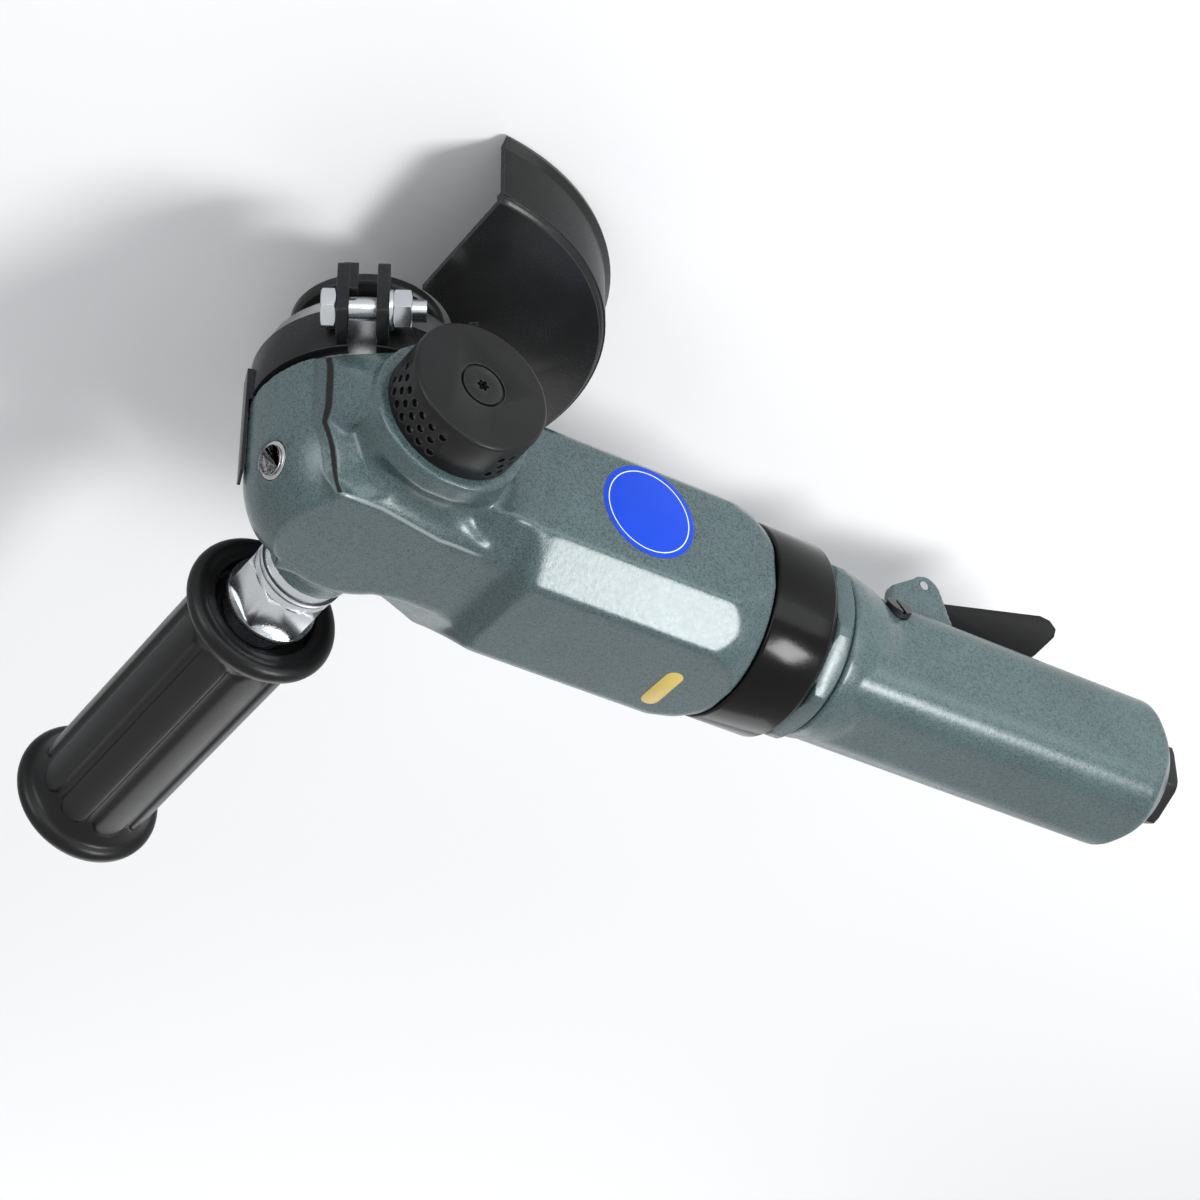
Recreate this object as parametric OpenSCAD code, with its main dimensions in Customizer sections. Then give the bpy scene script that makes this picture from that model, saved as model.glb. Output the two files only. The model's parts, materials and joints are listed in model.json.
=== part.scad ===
// Air angle grinder for 125 mm wheels, millimetres.
// X runs along the motor from the spindle to the air inlet, Z points away from the wheel,
// Y points to the silencer. The origin is on the spindle axis, on the wheel's seat.

/* [Head] */
// Height of the motor axis over the wheel seat
axis_h = 56; // [54:0.2:58.8]
// Radius of the round gear head
head_r = 31.4; // [30.5:0.1:33]
// Height of the head's flat top over the motor axis
head_top = 22.5; // [21.5:0.5:24]
// Depth of the casting's lower face under the motor axis
head_depth = 19.6; // [18.6:0.2:20.2]
// Half width of the head's top between gear head and motor
waist_y = 15; // [14:0.5:17]
// Half width of the head's top at its front corners
brow_y = 18.9; // [17.5:0.1:20]
// Distance of the head's front corners from the spindle axis
brow_x = 15; // [14:0.5:16.5]
// Depth of the groove behind the head's front shroud
seam_depth = 1.4; // [0.8:0.2:2.2]
// Width of the lowered rim along the shroud's edge
rim_w = 2.5; // [1.5:0.1:3.5]
// Width of the groove behind the head's front shroud
seam_w = 1.3; // [0.8:0.1:1.8]

/* [Motor housing] */
// Width across the flats of the motor housing
housing_af = 56.8; // [55:0.2:60]
// Leg of the housing's corner chamfers
housing_leg = 11.6; // [9:0.2:13]
// Edge radius of the housing
housing_round = 3; // [1.5:0.5:5]
// Where the full housing section starts
housing_front = 42.6; // [41:0.2:44]
// Where the housing ends at the collar
housing_rear = 116.4; // [114:0.2:120]
// Radius of the motor's bore
motor_r = 22.5; // [22:0.1:23]

/* [Silencer] */
// Distance of the silencer's axis from the spindle axis
silencer_x = 6.7; // [5:0.1:9]
// Radius of the silencer cap
cap_r = 19.8; // [18.5:0.1:21]
// Distance of the silencer's boss face from the middle plane
boss_y = 37.7; // [36.5:0.1:39]
// Height of the silencer cap
cap_h = 14.6; // [13:0.1:16]
// Wall of the silencer cap
cap_wall = 1.4; // [1:0.1:2]
// Diameter of the cap's exhaust holes
vent_d = 2.3; // [1.8:0.1:2.6]
// Rows of exhaust holes along the cap
vent_rows = 3; // [2:1:4]
// Groups of exhaust holes round the cap
vent_groups = 3; // [2:1:3]

/* [Guard] */
// Outer radius of the guard's wall
guard_r = 66.2; // [64:0.1:69]
// Sheet thickness of the guard
guard_t = 1.8; // [1.2:0.1:2.4]
// Height of the guard's plate over the wheel seat
guard_top = 2.7; // [2.4:0.1:3.6]
// Depth of the guard's wall
guard_depth = 18.3; // [16:0.1:20]
// Width of the guard's turned out lip
lip_w = 1.6; // [1:0.1:3]
// Radius of the hole in the guard's plate
hole_r = 23.6; // [23:0.1:25]
// Outer radius of the clamp band
band_r = 31.3; // [30.8:0.1:32]
// Thickness of the clamp's ears
band_t = 3.3; // [2.4:0.1:3.6]
// Height of the clamp band
band_h = 13.4; // [12.6:0.2:14]
// Width cut from the band beside its ears
band_cut = 4; // [3:0.2:5]
// Gap between the clamp's ears
ear_gap = 7.4; // [6:0.2:9]
// Direction of the clamp's ears, from the motor's side
ear_turn = 120; // [112:1:126]
// Reach of the clamp's ears from the spindle axis
ear_reach = 41.2; // [40.8:0.1:43]
// Distance of the clamp bolt from the spindle axis
bolt_reach = 36.6; // [36.4:0.1:37.2]
// Depth of the clamp bolt under the casting's lower face
bolt_down = 9.8; // [9.2:0.1:10.4]
// Direction of the guard's stop tongue, from the motor's side
tongue_turn = 199; // [190:1:204]
// Width of the stop tongue
tongue_w = 7; // [5:0.5:9]
// Height of the stop tongue over the casting's lower face
tongue_up = 23.4; // [16:0.2:26]
// Thread diameter of the clamp bolt
bolt_d = 6; // [5:0.5:6.5]

/* [Spindle] */
// Thread diameter of the spindle's nose
nose_d = 14; // [12:0.5:15]
// Length of the spindle's nose below the wheel seat
nose_l = 12.2; // [11:0.2:14]
// Radius of the wheel flange
flange_r = 21.5; // [19.5:0.1:22.4]
// Thickness of the wheel flange
flange_t = 3.6; // [3:0.1:3.9]
// Diameter of the wheel flange's pilot
pilot_d = 22.2; // [20:0.2:22.4]
// Radius of the neck that carries the guard's band
neck_r = 28; // [27.8:0.05:28.1]
// Height of the neck's lower edge over the wheel seat
neck_low = 12.8; // [12:0.2:13.6]
// Outer radius of the lower spindle bearing
low_bearing_r = 17.5; // [16:0.5:18]
// Width of the lower spindle bearing
low_bearing_w = 11; // [9:0.5:11.5]

/* [Gears and motor] */
// Teeth of the bevel gear
gear_teeth = 19; // [18:1:20]
// Teeth of the pinion
pinion_teeth = 11; // [10:1:12]
// Size of a bevel tooth, pitch diameter over teeth
tooth_module = 2; // [1.9:0.05:2]
// Face width of the bevel teeth
tooth_face = 7; // [5:0.5:7.5]
// Radius of the rotor
rotor_r = 17; // [16:0.2:17.4]
// Length of the cylinder that the rotor turns in
cylinder_l = 44; // [40:1:46]
// Offset of the cylinder's bore from the rotor's axis
cylinder_off = 1.4; // [1:0.1:1.6]
// Number of rotor vanes
vanes = 5; // [4:1:6]
// Thickness of a vane
vane_t = 1.6; // [1.2:0.1:2]

/* [Side handle] */
// Height of the side handle's axis over the motor axis
side_up = 6.1; // [5.5:0.1:6.7]
// Distance of the grip's near end from the middle plane
grip_near = 54.8; // [54:0.2:56]
// Length of the grip
grip_l = 118; // [108:1:126]
// Radius of the grip's end flanges
grip_flange_r = 23; // [21.5:0.1:24.5]
// Radius of the grip's body
grip_r = 18.2; // [17:0.1:19]
// Raised panels round the grip
grip_panels = 9; // [7:1:10]
// Height of the grip's raised panels
panel_h = 1.3; // [0.8:0.1:1.6]
// Width across the flats of the side handle's hexagon
side_hex = 24; // [22:0.5:25]
// Radius of the side handle's spigot
spigot_r = 11.8; // [11:0.1:12]

/* [Coupling] */
// Radius of the coupling collar
collar_r = 29.35; // [28.8:0.05:30.5]
// Length of the coupling collar
collar_l = 22; // [21:0.5:23]
// Width across the flats of the lock ring
ring_af = 52; // [51:0.5:54]
// Flats of the lock ring
ring_flats = 8; // [8:2:12]
// Length of the lock ring
ring_l = 6.8; // [6:0.2:7.6]

/* [Rear handle] */
// Half width of the handle's rounded section
handle_half = 20; // [19:0.2:22]
// Corner radius of the handle's section
handle_corner = 12; // [10:0.5:14]
// Height of the handle's middle over the motor axis
handle_up = 2; // [0.4:0.2:2.4]
// Where the handle casting ends
handle_end = 271; // [266:0.5:276]
// Radius of the handle's round neck
handle_neck_r = 25.6; // [25:0.1:26.4]
// Width across the flats of the inlet bush
inlet_hex = 24; // [22:0.5:25]
// Radius of the inlet's tapping
inlet_r = 7.5; // [7:0.1:8]

/* [Throttle] */
// Distance of the lever's pin from the spindle axis
pin_x = 183.4; // [182:0.2:185]
// Depth of the lever's pin under the motor axis
pin_down = 30.2; // [29.6:0.1:30.6]
// Diameter of the lever's pin
pin_d = 3; // [2.5:0.1:3.4]
// Length of the lever behind its pin
lever_l = 55.4; // [52:0.2:58]
// Width of the lever
lever_w = 14; // [12:0.2:15]
// Angle of the released lever to the handle
lever_turn = 15; // [13:0.5:16]
// Sheet thickness of the lever
lever_t = 1.8; // [1.2:0.1:2]
// Distance of the valve's stem behind the pin
stem_back = 24; // [22:0.5:26]
// Radius of the valve's stem
stem_r = 2.5; // [2:0.1:3]

/* [Hidden] */
$fn = 64;
fit = 0.04;
gap = 0.3;

head_low = axis_h - head_depth;
pin_z = axis_h - pin_down;
half_af = housing_af / 2;
half_flat = half_af - housing_leg;
head_z = axis_h + head_top;
housing_z = axis_h + half_af;
seam_x = head_r * cos(43.5);
shroud_step = 1.2;
side_z = axis_h + side_up;
side_x = 1.2;
handle_z = axis_h + handle_up;

// Bearings: outer radius, bore radius, width
low_bore_r = 7.5;
up_bearing_r = 11;
up_bore_r = 4;
up_bearing_w = 7;
rotor_bearing_r = 13;
rotor_bore_r = 5;
rotor_bearing_w = 8;

// Heights in the neck
nose_low = 4.8;
seat_r = 8;
seat_end = -2;
nose_r = 17;
low_bearing_z = head_low - low_bearing_w - 1;
low_bearing_top = low_bearing_z + low_bearing_w;
band_top = head_low - 2;
band_low = band_top - band_h;
bolt_z = head_low - bolt_down;
up_bearing_top = head_z - 5.6;
cavity_r = 20.9;
screw_r = 1.9;
screw_head_r = 2.6;
screw_circle_r = 23.3;

// Guard: its straight edge, and the strip that ties plate and band together
guard_edge = 4;
tie_from = -75;
tie_to = 40;
cut_from = 48;
cut_to = 114;

// Bevel gears share one apex, where the spindle and motor axes cross
gear_pr = tooth_module * gear_teeth / 2;
pinion_pr = tooth_module * pinion_teeth / 2;
cone_l = sqrt(gear_pr * gear_pr + pinion_pr * pinion_pr);
gear_cone = atan2(gear_pr, pinion_pr);
pinion_cone = 90 - gear_cone;
small_k = 1 - tooth_face / cone_l;
addendum = 0.82 * tooth_module;
dedendum = 1.15 * tooth_module;
gear_top = axis_h - small_k * (pinion_pr + dedendum * sin(gear_cone)) + 0.6;

// Stations along the motor
plate_front = 43;
plate_l = 12;
liner_x = plate_front + plate_l;
liner_end = liner_x + cylinder_l;
rear_plate_l = 10;
rear_plate_end = liner_end + rear_plate_l;
thread_r = 25.6;
thread_end = housing_rear + 11.6;
spigot_in_r = 19;
collar_x = housing_rear + gap;
collar_end = collar_x + collar_l;
ring_x = collar_end + gap;
ring_end = ring_x + ring_l;
neck_x = ring_end + gap;
handle_thread_x = thread_end - 9;
blend_x = neck_x + 17;

// Rear handle's inside
lug_in = lever_w / 2 + 0.8;
lug_out = lug_in + 4.2;
slot_top = handle_z - handle_half + 7.4;
stem_x = pin_x + stem_back;
chamber_r = 6.4;
outlet_z = axis_h - 3.4;
seat_z = axis_h + 1.4;
bore_top = handle_z + handle_half - 5;
lever_back = 2.3;
stem_low = pin_z - stem_back * tan(lever_turn)
    + (lever_back + lever_t + stem_r + gap) / cos(lever_turn);
spring_turns = 4;
spring_wire = 0.55;
spring_r = chamber_r - 1.9;
spring_z0 = seat_z + gap + 2.6;
spring_z1 = bore_top - 0.2;
inlet_depth = 22;
reg_x = 166.5;
reg_turn = 29;
reg_r = 3.2;

painted = [0.40, 0.46, 0.46];
black = [0.07, 0.07, 0.08];
zinc = [0.72, 0.74, 0.76];
steel = [0.55, 0.56, 0.58];
rubber = [0.05, 0.05, 0.05];

// Along X from x0 to x1 at height z
module along_x(x0, x1, z, r) {
    translate([x0, 0, z]) rotate([0, 90, 0]) cylinder(h = x1 - x0, r = r);
}

// Puts a shape that stands on Z along X, on the motor's axis
module on_motor(x) {
    translate([x, 0, axis_h]) rotate([0, 90, 0]) children();
}

// Puts a shape that stands on Z along +Y, at the silencer
module on_silencer(y) {
    translate([silencer_x, y, axis_h]) rotate([-90, 0, 0]) children();
}

// Puts a shape that stands on Z along -Y, at the side handle
module on_side(y) {
    translate([side_x, -y, side_z]) rotate([90, 0, 0]) children();
}

// Turns a shape from +X to the clamp's ears
module at_ears() {
    rotate([0, 0, ear_turn]) children();
}

module tube(h, r_out, r_in) {
    difference() {
        cylinder(h = h, r = r_out);
        translate([0, 0, -1]) cylinder(h = h + 2, r = r_in);
    }
}

// Hexagonal prism across the flats, with its ends chamfered to a circle
module hex_prism(af, h, cut) {
    corner = af / sqrt(3);
    intersection() {
        cylinder(h = h, r = corner, $fn = 6);
        rotate_extrude() polygon([[0, 0], [corner - cut, 0], [corner, cut * 0.6],
            [corner, h - cut * 0.6], [corner - cut, h], [0, h]]);
    }
}

// A sealed ball bearing: two rings and a recessed shield, as one ring
module bearing(r_out, r_in, w) {
    rim = (r_out - r_in) * 0.24;
    rotate_extrude() polygon([[r_in, 0.3], [r_in + 0.3, 0], [r_in + rim, 0],
        [r_in + rim, 0.5], [r_out - rim, 0.5], [r_out - rim, 0], [r_out - 0.4, 0],
        [r_out, 0.4], [r_out, w - 0.4], [r_out - 0.4, w], [r_out - rim, w],
        [r_out - rim, w - 0.5], [r_in + rim, w - 0.5], [r_in + rim, w],
        [r_in + 0.3, w], [r_in, w - 0.3]]);
}

// Convex outline with round corners, kept exact: a polygon and one circle a corner
module rounded(points, r) {
    n = len(points);
    function unit(v) = v / norm(v);
    function side(v) = [v[1], -v[0]];
    dirs = [for (i = [0:n - 1]) unit(points[(i + 1) % n] - points[i])];
    centres = [for (i = [0:n - 1])
        let(a = dirs[(i + n - 1) % n], b = dirs[i], m = unit(b - a),
            half = acos(max(-1, min(1, m * b))))
        points[i] + m * (r / sin(half))];
    polygon([for (i = [0:n - 1]) for (k = [0, 1])
        centres[i] + side(dirs[(i + n - 1 + k) % n]) * r]);
    for (c = centres) translate(c) circle(r = r);
}

// Octagon of the motor housing, as seen along X: first Z down, then Y
module housing_section(half, leg, r) {
    flat = half - leg;
    rounded([[-half, -flat], [-flat, -half], [flat, -half], [half, -flat],
        [half, flat], [flat, half], [-flat, half], [-half, flat]], r);
}

module handle_section() {
    h = handle_half;
    rounded([[-h, -h], [h, -h], [h, h], [-h, h]], handle_corner);
}

// Ball-topped gear head, cut flat on top
module head_dome(r) {
    rotate_extrude() union() {
        translate([0, head_low]) square([r, axis_h - head_low]);
        intersection() {
            translate([0, axis_h]) circle(r = r, $fn = 96);
            translate([0, axis_h]) square([r + 1, head_top]);
        }
    }
}

// Front part of the head, ahead of the seam, its edge moved back by some width
module shroud_space(back) {
    rotate([90, 0, 0]) translate([0, 0, -50]) linear_extrude(height = 100)
        polygon([[-50, head_low - 1], [-seam_x - back, head_low - 1],
            [-seam_x - back, axis_h + 3 - back], [-brow_x - 2 - back * 0.6, head_z - 3],
            [-brow_x - back * 0.3, head_z + 1], [-50, head_z + 1]]);
}

// The rest of the head, behind the seam's groove
module rear_space() {
    edge = -seam_x + seam_w;
    rotate([90, 0, 0]) translate([0, 0, -50]) linear_extrude(height = 100)
        polygon([[edge, head_low - 1], [50, head_low - 1], [50, head_z + 1],
            [seam_w - brow_x, head_z + 1], [seam_w - brow_x - 2, head_z - 3],
            [edge, axis_h + 3.4]]);
}

// Flat-topped waist between the gear head and the motor
module waist() {
    translate([0, 0, head_low]) linear_extrude(height = head_z - head_low)
        polygon([[-brow_x - 2.4, 0], [-brow_x - 1.8, 2.4 - brow_y * 0.6],
            [-brow_x, -brow_y], [-3, -brow_y], [5, -brow_y + 2.2],
            [14, -waist_y - 0.5], [26, -waist_y], [housing_front, -waist_y],
            [housing_front, waist_y], [26, waist_y], [14, waist_y + 0.5],
            [5, brow_y - 2.2], [-3, brow_y], [-brow_x, brow_y],
            [-brow_x - 1.8, brow_y * 0.6 - 2.4]]);
}

// Root of the motor housing: wide at the sides, stepped up to the full section
module housing_root() {
    low = axis_h - half_af;
    from = band_r - 0.1;
    hull() {
        translate([from, -half_af, axis_h - half_flat])
            cube([38.4 - from, housing_af, 2 * half_flat]);
        translate([from + 2.4, -waist_y, low + 2])
            cube([36 - from, 2 * waist_y, head_z - low - 2]);
    }
    // Sides that widen from the gear head
    hull() {
        translate([9, -21, axis_h - 15]) cube([0.4, 42, 22]);
        translate([9, 0.4 - waist_y, axis_h - 15]) cube([0.4, 2 * waist_y - 0.8, head_top + 12.6]);
        translate([from + 0.6, 0.4 - half_af, axis_h - half_flat + 0.4])
            cube([0.4, housing_af - 0.8, 2 * half_flat - 0.8]);
        translate([from + 0.6, 0.4 - waist_y, axis_h - 15])
            cube([0.4, 2 * waist_y - 0.8, head_top + 14.6]);
    }
    hull() {
        translate([38, -half_af, axis_h - half_flat]) cube([0.4, housing_af, 2 * half_flat]);
        translate([38, -waist_y, low + 2]) cube([0.4, 2 * waist_y, head_z - low - 2]);
        on_motor(housing_front) linear_extrude(height = 0.5)
            housing_section(half_af - 0.3, housing_leg, housing_round, $fn = 32);
    }
}

// Octagonal housing that closes to a circle at the collar
module housing() {
    l = housing_rear - housing_front;
    intersection() {
        on_motor(housing_front) linear_extrude(height = l)
            housing_section(half_af, housing_leg, housing_round);
        on_motor(housing_front) rotate_extrude() polygon([[0, -1], [40, -1],
            [40, l - 22], [33.2, l - 16], [31.2, l - 6], [collar_r - 0.2, l - 1.2],
            [collar_r - 1, l + 1], [0, l + 1]]);
    }
}

// Round boss under the silencer, with a wide concave foot
module silencer_boss() {
    foot = 9;
    intersection() {
        on_silencer(0) rotate_extrude() difference() {
            square([cap_r + 3 + foot, boss_y]);
            translate([cap_r + 3 + foot, 18 + foot]) circle(r = foot);
            translate([cap_r + 3, 18 + foot]) square([foot + 1, boss_y]);
        }
        translate([-40, 0, head_low]) cube([90, 60, head_z - head_low]);
    }
}

// Wall that runs from the gear head to the silencer's boss, low on the head
module boss_wall() {
    intersection() {
        hull() {
            translate([0, 0, head_low]) cylinder(h = 16, r = head_r - 1.3);
            on_silencer(boss_y - 3) cylinder(h = 1, r = cap_r + 1.6);
        }
        translate([-40, 0, head_low]) cube([90, 60, axis_h - head_low + 6]);
    }
}

// Where the round hole in the head's front points
module at_front_hole() {
    translate([0, 0, axis_h]) rotate([0, 0, 170]) rotate([0, 90 - 15.3, 0]) children();
}

panel_w = 2 * PI * (grip_r - 4) / grip_panels - 0.9;
insert_l = 8;
insert_r = 5.2;

module body_casting() color(painted) difference() {
    union() {
        intersection() {
            head_dome(head_r);
            shroud_space(rim_w);
        }
        intersection() {
            head_dome(head_r - 0.9);
            shroud_space(0);
        }
        intersection() {
            head_dome(head_r - shroud_step);
            rear_space();
        }
        head_dome(head_r - shroud_step - seam_depth);
        waist();
        housing_root();
        housing();
        silencer_boss();
        boss_wall();
        on_side(18) cylinder(h = 11.6, r = spigot_r + 1.4);
        along_x(housing_rear - 1, thread_end, axis_h, thread_r);
    }
    // Neck opening, gear space and upper bearing seat
    translate([0, 0, head_low - 1]) cylinder(h = axis_h + 8.4 - head_low + 1, r = cavity_r);
    translate([0, 0, axis_h]) cylinder(h = up_bearing_top - axis_h, r = up_bearing_r + fit);
    // Passage for the pinion and the motor's bore
    along_x(5, plate_front + 1, axis_h, 13.2);
    along_x(plate_front, thread_end + 1, axis_h, motor_r);
    // Exhaust: a groove beside the cylinder, which leads to the silencer's chamber
    translate([silencer_x + 11, motor_r - 2, axis_h - 5])
        cube([liner_end - 8 - silencer_x - 11, 4.9, 10]);
    translate([silencer_x + 10, motor_r + 1, axis_h - 4.6]) cube([5.6, boss_y - motor_r - 7, 9.2]);
    difference() {
        on_silencer(boss_y - 8) cylinder(h = 9, r = cap_r - 3.4);
        on_silencer(boss_y - 9) cylinder(h = 11, r = 6);
    }
    on_silencer(boss_y - 11) cylinder(h = 12, r = 2.6);
    // Side handle's spigot and thread
    on_side(23) cylinder(h = 8, r = spigot_r + fit);
    on_side(cavity_r - 2) cylinder(h = 6, r = 7 + fit);
    // Front insert
    at_front_hole() translate([0, 0, head_r - 0.9 - insert_l])
        cylinder(h = insert_l + 4, r = insert_r + fit);
    // Screw holes for the neck collar
    for (a = [45:90:315]) rotate([0, 0, a]) translate([screw_circle_r, 0, head_low - 1])
        cylinder(h = 7, r = screw_r + fit);
}

module front_insert() color(zinc) at_front_hole()
    translate([0, 0, head_r - 0.9 - insert_l]) difference() {
        union() {
            cylinder(h = insert_l, r = insert_r);
            cylinder(h = insert_l + 0.8, r = insert_r - 1);
        }
        translate([0, 0, 1.5]) cylinder(h = insert_l, r = 3.4);
        translate([0, 0, insert_l + 0.2]) cylinder(h = 1, r1 = 3.4, r2 = 4.4);
    }

// Bare metal bearing housing that the guard's band clamps on
module neck_collar() color(zinc) difference() {
    union() {
        rotate_extrude() polygon([[0, neck_low], [neck_r - 1.8, neck_low],
            [neck_r, neck_low + 2], [neck_r, head_low - 0.02], [0, head_low - 0.02]]);
        translate([0, 0, nose_low]) cylinder(h = neck_low - nose_low + 1, r = nose_r);
        translate([0, 0, head_low - 1]) cylinder(h = 3, r = cavity_r - fit);
    }
    translate([0, 0, low_bearing_z]) cylinder(h = 30, r = low_bearing_r + fit);
    translate([0, 0, nose_low - 1]) cylinder(h = 40, r = low_bore_r + 2.2);
    translate([0, 0, nose_low - 1]) cylinder(h = 8, r = 13 + fit);
    for (a = [45:90:315]) rotate([0, 0, a]) translate([screw_circle_r, 0, neck_low - 1]) {
        cylinder(h = 40, r = screw_r + fit);
        cylinder(h = 5.2, r = screw_head_r + 0.1);
    }
}

module neck_screws() color(steel) for (a = [45:90:315]) rotate([0, 0, a])
    translate([screw_circle_r, 0, neck_low + 0.8]) difference() {
        union() {
            cylinder(h = 3.38, r = screw_head_r);
            cylinder(h = head_low + 5 - neck_low, r = screw_r);
        }
        translate([0, 0, -1]) cylinder(h = 3, r = 1.3, $fn = 6);
    }

module neck_seal() color(rubber) translate([0, 0, nose_low + 0.4])
    tube(6.4, 13, low_bore_r + fit);

module spindle() color(steel) union() {
    translate([0, 0, -nose_l + 1]) cylinder(h = nose_l + 2, r = nose_d / 2);
    translate([0, 0, -nose_l]) cylinder(h = 1, r1 = nose_d / 2 - 1, r2 = nose_d / 2);
    translate([0, 0, seat_end]) cylinder(h = nose_low - 0.2 - seat_end, r = seat_r - fit);
    translate([0, 0, 0]) cylinder(h = gear_top - 0.1, r = low_bore_r - fit);
    translate([0, 0, low_bearing_z - 4.4]) cylinder(h = 4.2, r = low_bore_r + 1.6);
    translate([0, 0, gear_top - 1])
        cylinder(h = up_bearing_top - up_bearing_w - gear_top + 0.8, r = 5.2);
    translate([0, 0, axis_h]) cylinder(h = up_bearing_top - axis_h - 0.4, r = up_bore_r - fit);
}

module lower_spindle_bearing() color(steel) translate([0, 0, low_bearing_z])
    bearing(low_bearing_r, low_bore_r, low_bearing_w);

module upper_spindle_bearing() color(steel) translate([0, 0, up_bearing_top - up_bearing_w])
    bearing(up_bearing_r, up_bore_r, up_bearing_w);

// One straight bevel tooth: at the origin its pitch point, along Z towards the apex
module bevel_tooth(thick) {
    base = thick / 2 + (dedendum + 0.4) * tan(20);
    tip = thick / 2 - addendum * tan(20);
    linear_extrude(height = tooth_face, scale = small_k)
        polygon([[-base, -dedendum - 0.4], [base, -dedendum - 0.4],
            [tip, addendum], [-tip, addendum]]);
}

// Ring of bevel teeth round Z, with the apex at the origin and the teeth facing up
module bevel_ring(teeth, radius, cone, thick) {
    h = radius / tan(cone);
    for (i = [0:teeth - 1]) rotate([0, 0, i * 360 / teeth])
        translate([radius, 0, -h]) rotate([0, -cone, 0]) rotate([0, 0, -90])
            bevel_tooth(thick);
}

// Blank under the teeth: root line from the large end to the small end
module bevel_blank(radius, cone, bore, hub, hub_end) {
    h = radius / tan(cone);
    root_r = radius - dedendum * cos(cone);
    root_z = -h - dedendum * sin(cone);
    in_r = radius * small_k - dedendum * small_k * cos(cone);
    in_z = -h * small_k - dedendum * small_k * sin(cone);
    rotate_extrude() polygon([[bore, in_z + 0.6], [in_r - 0.6, in_z + 0.6], [in_r, in_z],
        [root_r, root_z], [root_r, root_z - 2.2], [hub, root_z - 3.6],
        [hub, hub_end], [bore, hub_end]]);
}

module bevel_gear() color(steel) translate([0, 0, axis_h]) union() {
    bevel_ring(gear_teeth, gear_pr, gear_cone, tooth_module * 1.3);
    bevel_blank(gear_pr, gear_cone, low_bore_r, low_bore_r + 4,
        low_bearing_top + 0.5 - axis_h);
}

module gear_circlip() color(steel)
    translate([0, 0, gear_top + 0.05]) difference() {
        tube(1.2, 7.4, 5.2 + fit);
        translate([0, -1.5, -1]) cube([10, 3, 4]);
    }

module wheel_flange() color(black) difference() {
    union() {
        rotate_extrude() polygon([[0, 0], [flange_r - 0.4, 0], [flange_r, 0.4],
            [flange_r, flange_t - 0.8], [flange_r - 0.8, flange_t], [0, flange_t]]);
        cylinder(h = nose_low - 0.3, r = 14);
        translate([0, 0, seat_end + 0.2]) cylinder(h = 3, r = pilot_d / 2);
    }
    translate([0, 0, seat_end - 1]) cylinder(h = 12, r = seat_r);
    difference() {
        translate([0, 0, -0.01]) cylinder(h = 0.8, r = flange_r - 5);
        translate([0, 0, -1]) cylinder(h = 3, r = pilot_d / 2);
    }
}

// Half shell of the guard: plate, rounded edge, wall and turned out lip
module guard_shell() {
    low = guard_top - guard_depth;
    in_r = guard_r - guard_t;
    intersection() {
        rotate_extrude($fn = 128) union() {
            translate([hole_r, guard_top - guard_t]) square([in_r - hole_r, guard_t]);
            translate([in_r, low]) square([guard_t, guard_depth - guard_t]);
            intersection() {
                translate([guard_r - 2 * guard_t, guard_top - 2 * guard_t])
                    circle(r = 2 * guard_t, $fn = 48);
                translate([guard_r - 2 * guard_t, guard_top - 2 * guard_t])
                    square(2 * guard_t);
            }
            polygon([[in_r, low], [guard_r, low], [guard_r + lip_w, low - 2],
                [guard_r + lip_w - 0.4, low - 2 - guard_t], [in_r, low - guard_t]]);
        }
        translate([guard_edge, -80, low - 10]) cube([80, 160, guard_depth + 20]);
    }
}

// Strip on the motor's side that ties the guard's plate to its band
module guard_tie() {
    low = guard_top - guard_t + 0.5;
    intersection() {
        translate([0, 0, low]) tube(band_low + 1 - low, band_r - 0.3, neck_r + 0.4);
        translate([0, 0, low - 1]) linear_extrude(height = 40)
            polygon(concat([[0, 0]], [for (i = [0:6])
                let(a = tie_from + i * (tie_to - tie_from) / 6) 60 * [cos(a), sin(a)]]));
    }
}

// Ears of the clamp: plates that stand out from the band, sloped to it at the top
module clamp_ears() {
    ear_low = band_low - 7.6;
    at_ears() for (side = [-1, 1])
        translate([0, side * (ear_gap / 2 + band_t / 2) + band_t / 2, 0])
            rotate([90, 0, 0]) linear_extrude(height = band_t)
                polygon([[neck_r + 1.2, band_low + 0.4], [band_r - 0.4, ear_low + 2],
                    [band_r + 1.4, ear_low], [ear_reach - 1, ear_low],
                    [ear_reach, ear_low + 1], [ear_reach, band_top - 9.2],
                    [band_r + 0.5, band_top - 0.3], [neck_r + 1.2, band_top - 0.3]]);
    // Edge of the left ear, folded towards the gap
    at_ears() translate([ear_reach - 2.8, ear_gap / 2 - 2.3, ear_low + 0.5])
        cube([2.6, 4, bolt_z - ear_low - 4.2]);
}

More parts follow.
